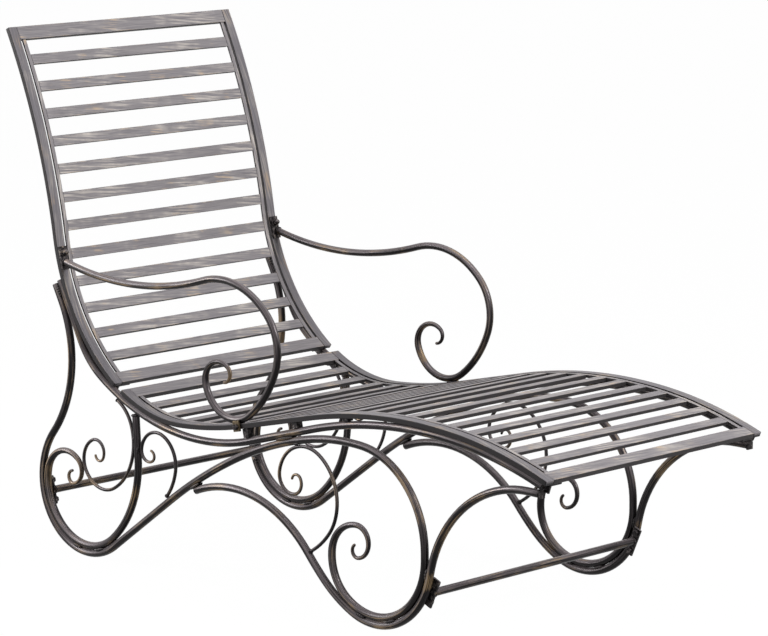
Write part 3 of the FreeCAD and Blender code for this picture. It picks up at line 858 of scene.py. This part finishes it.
@dataclass
class SideFrame:
    """Bent tubes and scroll rods of one side."""

    side: Side
    y: float = -290.5
    arm_y: float = -293.0
    tube_d: float = 15.0
    arm_d: float = 14.0
    rod_d: float = 7.0
    tip_d: float = 6.0
    rod_tip_d: float = 5.0
    seat_tube: CentreLine = CentreLine(
        -579.94, 551.69, -62.3,
        ((128, 0), (182, 29.3), (524, 48.7), (167, 0), (982, -18), (900, -17.923)),
    )
    rear_leg: CentreLine = CentreLine(
        -594.28, 541.98, -62.0,
        ((36, 0), (240, -69), (146, 45.5), (136, 121.259), (206.88, 0), (1200, -10.5), (876, -12.8),
         (500, -17), (176, -85), (14, 0), (127, -125.259), (92, -60), (64, -86), (31, -172), (13, -160)),
    )
    front_leg: CentreLine = CentreLine(
        -187.88, 184.47, 22.315,
        ((274, -70.815), (613, 5.7), (276, 18.3), (142.3, 103.7), (239.93, -79.7), (29.15, 0)),
    )
    rear_loop: CentreLine = CentreLine(
        -359.82, 308.62, -86.5,
        ((82.71, 0), (211, -54), (120.7, -122), (98, -20), (57, -116), (29, -134), (13, -190)),
    )
    arm: CentreLine = CentreLine(
        -561.31, 590.54, -13.3,
        ((9.41, 0), (769, 29.7), (172, -62.6), (103, -65), (202, -32), (79, -110), (39, -143), (17, -150)),
    )
    rear_rod: CentreLine = CentreLine(
        -413.79, 331.72, -34.0,
        ((11.94, 0), (79, -40), (112, -78), (62.85, -86), (46, -97), (24, -144), (12, -150)),
    )
    mid_rod: CentreLine = CentreLine(
        -271.77, 159.79, 49.063,
        ((112, 29.937), (60, 79), (45, 102), (21, 130), (11, 150)),
    )
    front_rod: CentreLine = CentreLine(
        128.25, 117.45, 32.0,
        ((9.18, 0), (159, 20), (99, 96), (72, 65), (67, 46), (34, 116), (22, 102), (12, 150)),
    )
    scuffs: dict[str, tuple[float, float]] = field(default_factory=lambda: {"front_leg": (735.0, 16.0)})
    seams: tuple[Seam, ...] = (
        Seam(63.3, 324.0, 14.0, 50.0, 3.6),
        Seam(-578.5, 530.0, -62.0, 30.0, 4.2),
        Seam(-187.0, 193.5, 31.0, 30.0, 3.4),
        Seam(-349.9, 239.7, -90.0, 14.0, 2.4),
        Seam(-362.4, 257.6, -88.0, 16.0, 2.4),
        Seam(94.8, 318.5, 16.0, 16.0, 2.4),
        Seam(261.5, 19.6, -15.0, 26.0, 3.4),
        Seam(340.5, 22.0, 19.0, 26.0, 3.4),
        Seam(-535.5, 18.0, -13.0, 26.0, 3.4),
        Seam(-468.5, 20.5, 17.0, 26.0, 3.4),
        Seam(430.5, 125.0, 80.0, 24.0, 3.2),
        Seam(-60.8, 334.8, 8.0, 14.0, 2.6),
    )
    flank: float = 5.0
    ripple: float = 5.0
    start_in: float = 0.4
    start_sink: float = 0.2
    end_in: float = 0.6
    end_sink: float = 0.4
    loop_weld: float = 2.2
    rod_weld: float = 1.7
    arm_weld: float = 1.9
    bracket_weld: float = 2.0

    def build(self, paint: bpy.types.Material) -> None:
        """Makes every tube and rod of the side in place of its node.

        Args:
            paint: Finish of the tubes.
        """
        bars = (
            ("seat_tube", self.seat_tube, self.y, self.tube_d, 0.0, 0),
            ("rear_leg", self.rear_leg, self.y, self.tube_d, self.tip_d, 3),
            ("front_leg", self.front_leg, self.y, self.tube_d, 0.0, 0),
            ("rear_loop", self.rear_loop, self.y, self.tube_d, self.tip_d, 3),
            ("arm", self.arm, self.arm_y, self.arm_d, self.tip_d, 2),
            ("rear_rod", self.rear_rod, self.y, self.rod_d, self.rod_tip_d, 2),
            ("mid_rod", self.mid_rod, self.y, self.rod_d, self.rod_tip_d, 2),
            ("front_rod", self.front_rod, self.y, self.rod_d, self.rod_tip_d, 2),
        )
        for k, (name, line, y, d, tip, taper) in enumerate(bars):
            sides = ROD_SIDES if d == self.rod_d else BAR_SIDES
            shift = 3.1 * k + 41.0 * (self.side is Side.right)
            skin = round_bar(line, y, d, tip, taper, sides, shift, self.scuffs.get(name))
            node = f"{name}_{self.side.name}"
            place(mesh_object(f"shown_{node}", [skin.on(self.side)], paint), Slot.frame, node)

    def welds(self, paint: bpy.types.Material) -> None:
        """Puts the weld beads between the tubes and rods of the side.

        Args:
            paint: Finish of the welds.
        """
        skins = []
        for k, seam in enumerate(self.seams):
            h = math.radians(seam.heading)
            ahead = np.array([math.cos(h), 0.0, math.sin(h)]) * seam.length / 2
            ripples = max(3, int(seam.length / self.ripple))
            for flank in (-self.flank, self.flank):
                middle = np.array([seam.x, self.y + flank, seam.z])
                skins.append(bead(middle - ahead, middle + ahead, seam.thick, ripples, 0.3 * k))
        starts = (
            (self.rear_loop, self.y, self.tube_d, self.loop_weld),
            (self.rear_rod, self.y, self.rod_d, self.rod_weld),
            (self.mid_rod, self.y, self.rod_d, self.rod_weld),
            (self.front_rod, self.y, self.rod_d, self.rod_weld),
            (self.arm, self.arm_y, self.arm_d, self.arm_weld),
        )
        for k, (line, y, d, thick) in enumerate(starts):
            skins.append(end_weld(line, self.start_in, y, d / 2 - self.start_sink, thick, 0.5 * k))
        for line in (self.seat_tube, self.front_leg):
            at, radius = line.length() - self.end_in, self.tube_d / 2 - self.end_sink
            skins.append(end_weld(line, at, self.y, radius, self.bracket_weld, 0.7))
        name = f"side_welds_{self.side.name}"
        place(mesh_object(name, [s.on(self.side) for s in skins], paint), Slot.frame)


@dataclass
class SlattedPanel:
    """One bent panel: side rails, carrier strips, end rails and slats, in millimetres.

    The seed and the shifts start the length maps at other places, so that no two pieces share strokes.
    """

    name: str
    line: CentreLine
    slats: int
    end_rails: tuple[str, str]
    seed: float
    width: float = 600.0
    rail_w: float = 28.0
    side_w: float = 21.0
    rail_t: float = 10.0
    strip_w: float = 9.0
    strip_t: float = 4.0
    strip_gap: float = 5.0
    slat_w: float = 21.0
    slat_t: float = 7.0
    slat_sink: float = 0.8
    gap: float = 0.3
    group: int = 3
    side_edge: float = 1.3
    strip_edge: float = 0.8
    end_edge: float = 1.2
    slat_edge: float = 1.1
    right_shift: float = 13.0
    strip_shift: float = 5.0
    end_shifts: tuple[float, float] = (31.0, 34.0)
    slat_shift: float = 50.0
    next_shift: float = 1.7

    def inner_line(self) -> CentreLine:
        """The line between the two end rails, on which the carrier strips lie."""
        cut = self.rail_w + self.gap
        ends = self.line.ends()
        x, z, h = self.line.spot(cut)
        left = np.maximum(ends[:-1], cut)
        right = np.minimum(ends[1:], ends[-1] - cut)
        share = np.clip((right - left) / np.diff(ends), 0, 1)
        steps = tuple(
            (size, turn * f) if turn else (size * f, 0.0)
            for (size, turn), f in zip(self.line.steps, share)
            if f > 0
        )
        return CentreLine(x, z, math.degrees(h), steps)

    def build(self, paint: bpy.types.Material, rail_paint: bpy.types.Material) -> None:
        """Makes the rails, strips and slats in place of their nodes.

        Args:
            paint: Finish of the slats, strips and end rails.
            rail_paint: Finish of the side rails.
        """
        edge = self.width / 2
        rail_in = edge - self.side_w
        strip_out = rail_in - self.strip_gap
        slat_half = strip_out - self.strip_w - self.gap
        top = self.rail_t / 2 - self.slat_sink
        strip_lift = top - self.strip_t / 2
        for side in Side:
            shift = self.seed + (self.right_shift if side is Side.right else 0.0)
            rail = bent_flat(self.line, -edge, -rail_in, self.rail_t, 0.0, self.side_edge, shift)
            node = f"{self.name}_rail_{side.name}"
            place(mesh_object(f"shown_{node}", [rail.on(side)], rail_paint), Slot.panel, node)
            strip = bent_flat(
                self.inner_line(),
                -strip_out,
                self.strip_w - strip_out,
                self.strip_t,
                strip_lift,
                self.strip_edge,
                shift + self.strip_shift,
            )
            node = f"{self.name}_strip_{side.name}"
            place(mesh_object(f"shown_{node}", [strip.on(side)], paint), Slot.panel, node)
        total = self.line.length()
        half, rise = rail_in - self.gap, self.rail_t / 2
        places = (self.rail_w / 2, total - self.rail_w / 2)
        for node, at, shift in zip(self.end_rails, places, self.end_shifts):
            rail = cross_flat(
                self.line, at, self.rail_w, half, -rise, rise, self.end_edge, self.seed + shift
            )
            place(mesh_object(f"shown_{node}", [rail], paint), Slot.panel, node)
        step = (total - self.rail_w) / (self.slats + 1)
        low = top - self.slat_t
        for g in range(self.slats // self.group):
            skins = []
            for k in range(g * self.group, (g + 1) * self.group):
                at = self.rail_w / 2 + step * (k + 1)
                shift = self.seed + self.slat_shift + self.next_shift * k
                skins.append(
                    cross_flat(self.line, at, self.slat_w, slat_half, low, top, self.slat_edge, shift)
                )
            node = f"{self.name}_slats_{g + 1}"
            place(mesh_object(f"shown_{node}", skins, paint), Slot.panel, node)


@dataclass
class CrossBars:
    """The two round bars that tie the side frames, with their end welds."""

    d: float = 15.0
    half: float = 278.4
    names: tuple[str, str] = ("rear_bar", "front_bar")
    edge: float = 0.5
    rings: int = 30
    weld_in: float = 0.6
    weld_sink: float = 0.1
    weld_thick: float = 2.2

    def build(self, paint: bpy.types.Material, weld: bpy.types.Material) -> None:
        """Makes the bars in place of their nodes, with a weld run at each end.

        Args:
            paint: Finish of the bars.
            weld: Finish of the welds.
        """
        runs = []
        for k, name in enumerate(self.names):
            low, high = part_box(name)
            middle = (low + high) / 2 / MM
            s, inset = eased(np.linspace(-self.half, self.half, self.rings), self.edge)
            points = np.stack([np.full_like(s, middle.x), s, np.full_like(s, middle.z)], -1)
            first = np.tile([1.0, 0.0, 0.0], (len(s), 1))
            second = np.tile([0.0, 0.0, -1.0], (len(s), 1))
            ones = np.ones_like(s)
            disc = Profile.disc(self.d, BAR_SIDES, BAR_RUB)
            bar = carried(disc, points, first, second, s, ones, inset, ones * 0, 60.0 + 4 * k)
            place(mesh_object(f"shown_{name}", [bar], paint), Slot.frame, name)
            across, radius = np.array([0.0, 1.0, 0.0]), self.d / 2 - self.weld_sink
            for y in (-self.half + self.weld_in, self.half - self.weld_in):
                centre = np.array([middle.x, y, middle.z])
                runs.append(collar(centre, across, radius, self.weld_thick, 1.0 + k))
        place(mesh_object("bar_welds", runs, weld), Slot.frame)


@dataclass(frozen=True)
class Fittings:
    """Plates, tabs, brackets, spacers and fasteners, which keep the shapes of their nodes."""

    names: tuple[str, ...] = (
        "angle_tabs", "arm_plates", "arm_screws", "arm_studs", "arm_tabs", "arm_washers",
        "bar_bolts", "bar_plates", "dome_nuts", "front_brackets", "spacers", "tab_bolts",
    )
    bright: str = "arm_tabs"

    def dress(self, paint: bpy.types.Material, tab: bpy.types.Material) -> None:
        """Gives the fittings their finish.

        Args:
            paint: Finish of the fittings.
            tab: Finish of the two arm tabs, which are rubbed bright.
        """
        for name in self.names:
            node = frame["nodes"][name]
            node.data.materials.clear()
            node.data.materials.append(tab if name == self.bright else paint)
            LOG.info("node %s keeps its own shape", name)


@dataclass(frozen=True)
class Lamp:
    """Soft rectangular light: where it hangs and its size, in metres, and its power in watts."""

    name: str
    spot: Triple
    size: tuple[float, float]
    power: float


@dataclass(frozen=True)
class Studio:
    """Pale floor, soft light and the camera of the photograph.

    The camera was fitted to the lounger, so its place is in metres from the part's own origin.
    """

    lamps: tuple[Lamp, ...] = (
        Lamp("front_light", (4.0, 0.8, 3.0), (1.3, 1.3), 165.0),
        Lamp("top_light", (0.2, -0.4, 4.2), (1.2, 1.2), 35.0),
        Lamp("left_light", (-3.4, -3.0, 1.8), (0.9, 2.6), 180.0),
    )
    aim: Triple = (0.0, 0.0, 0.45)
    floor_half: float = 60.0
    floor_tone: Colour = (0.30, 0.30, 0.30)
    floor_white: float = 1.05
    floor_share: float = 0.94
    fill: float = 0.15
    far_end: float = 200.0
    eye: Triple = (4.7473, -4.8143, 1.6841)
    heading: float = 134.36
    dip: float = 9.87
    focal_px: float = 3546.0
    image: tuple[int, int] = (768, 636)
    sensor: float = 36.0
    shift_px: tuple[float, float] = (-1.5, 0.7)

    def light(self, lamp: Lamp) -> None:
        """Hangs one soft light that points at the lounger.

        Args:
            lamp: The light.
        """
        data = bpy.data.lights.new(lamp.name, "AREA")
        data.shape = "RECTANGLE"
        data.size, data.size_y = lamp.size
        data.energy = lamp.power
        obj = bpy.data.objects.new(lamp.name, data)
        spot = Vector(lamp.spot)
        obj.location = spot
        obj.rotation_euler = (Vector(self.aim) - spot).to_track_quat("-Z", "Y").to_euler()
        bpy.context.scene.collection.objects.link(obj)

    def floor(self) -> None:
        """Lays a wide pale floor that shows white to the camera and keeps a soft shadow."""
        size = self.floor_half
        mesh = bpy.data.meshes.new("floor")
        corners = [(-size, -size, 0.0), (size, -size, 0.0), (size, size, 0.0), (-size, size, 0.0)]
        mesh.from_pydata(corners, [], [(0, 1, 2, 3)])
        floor = bpy.data.objects.new("floor", mesh)
        bpy.context.scene.collection.objects.link(floor)
        pad = NodePad("pale_floor")
        pad.shader.inputs["Base Color"].default_value = (*self.floor_tone, 1.0)
        pad.shader.inputs["Roughness"].default_value = 0.9
        pad.shader.inputs["Specular IOR Level"].default_value = 0.0
        glow = pad.node("ShaderNodeEmission")
        glow.inputs["Strength"].default_value = self.floor_white
        path = pad.node("ShaderNodeLightPath")
        seen = pad.sum("MAXIMUM", path.outputs["Is Camera Ray"], path.outputs["Is Glossy Ray"])
        seen = pad.sum("MAXIMUM", seen, path.outputs["Is Transmission Ray"])
        mix = pad.node("ShaderNodeMixShader")
        pad.feed(mix.inputs[0], pad.sum("MULTIPLY", seen, self.floor_share))
        pad.feed(mix.inputs[1], pad.shader.outputs[0])
        pad.feed(mix.inputs[2], glow.outputs[0])
        output = next(n for n in pad.tree.nodes if n.type == "OUTPUT_MATERIAL")
        pad.tree.links.new(mix.outputs[0], output.inputs["Surface"])
        mesh.materials.append(pad.material)

    def world(self) -> None:
        """Fills the surroundings with even white light, seen as plain white."""
        world = bpy.data.worlds.new("studio")
        world.use_nodes = True
        tree = world.node_tree
        back = next(n for n in tree.nodes if n.type == "BACKGROUND")
        back.inputs["Color"].default_value = (1.0, 1.0, 1.0, 1.0)
        path = tree.nodes.new("ShaderNodeLightPath")
        seen = path.outputs["Is Camera Ray"]
        for ray in ("Is Glossy Ray", "Is Transmission Ray"):
            either = tree.nodes.new("ShaderNodeMath")
            either.operation = "MAXIMUM"
            tree.links.new(seen, either.inputs[0])
            tree.links.new(path.outputs[ray], either.inputs[1])
            seen = either.outputs[0]
        level = tree.nodes.new("ShaderNodeMapRange")
        level.inputs["To Min"].default_value = self.fill
        level.inputs["To Max"].default_value = 1.0
        tree.links.new(seen, level.inputs["Value"])
        tree.links.new(level.outputs[0], back.inputs["Strength"])
        bpy.context.scene.world = world

    def camera(self) -> None:
        """Sets the camera: its axes come from the heading and the dip below the horizon."""
        a, e = math.radians(self.heading), math.radians(self.dip)
        ahead = Vector((math.cos(a) * math.cos(e), math.sin(a) * math.cos(e), -math.sin(e)))
        right = ahead.cross(Vector((0.0, 0.0, 1.0))).normalized()
        up = right.cross(ahead)
        data = bpy.data.cameras.new("camera")
        data.sensor_fit = "HORIZONTAL"
        data.sensor_width = self.sensor
        data.lens = self.focal_px / self.image[0] * self.sensor
        data.shift_x = self.shift_px[0] / self.image[0]
        data.shift_y = self.shift_px[1] / self.image[0]
        data.clip_end = self.far_end
        obj = bpy.data.objects.new("camera", data)
        turn = Matrix((right, up, -ahead)).transposed().to_4x4()
        obj.matrix_world = Matrix.Translation(Vector(self.eye)) @ turn
        bpy.context.scene.collection.objects.link(obj)
        bpy.context.scene.camera = obj

    def build(self) -> None:
        """Sets up the whole studio."""
        self.floor()
        self.world()
        for lamp in self.lamps:
            self.light(lamp)
        self.camera()
        bpy.context.scene.view_settings.view_transform = "Standard"


def main() -> None:
    """Builds and dresses the lounger and sets up the studio."""
    logging.basicConfig(level=logging.INFO, format="%(name)s: %(message)s")
    finishes = Finishes()
    slat, rail = finishes.slat.make(), finishes.rail.make()
    tube, weld = finishes.tube.make(), finishes.weld.make()
    for side in Side:
        side_frame = SideFrame(side)
        side_frame.build(tube)
        side_frame.welds(weld)
    CrossBars().build(tube, weld)
    back = CentreLine(-720.89, 1044.0, -62.5, ((1352, -18.3), (414, 46)))
    seat = CentreLine(
        -393.84, 352.02, -29.9,
        ((324, 32.9), (1008, 9.9), (180, 0), (1098, -19.2), (912.8, -14.6)),
    )
    SlattedPanel("back", back, 12, ("back_top_rail", "back_bottom_rail"), 0.0).build(slat, rail)
    SlattedPanel("seat", seat, 21, ("seat_rear_rail", "seat_front_rail"), 7.0).build(slat, rail)
    Fittings().dress(finishes.fitting.make(), finishes.tab.make())
    Studio().build()


if __name__ == "__main__":
    main()
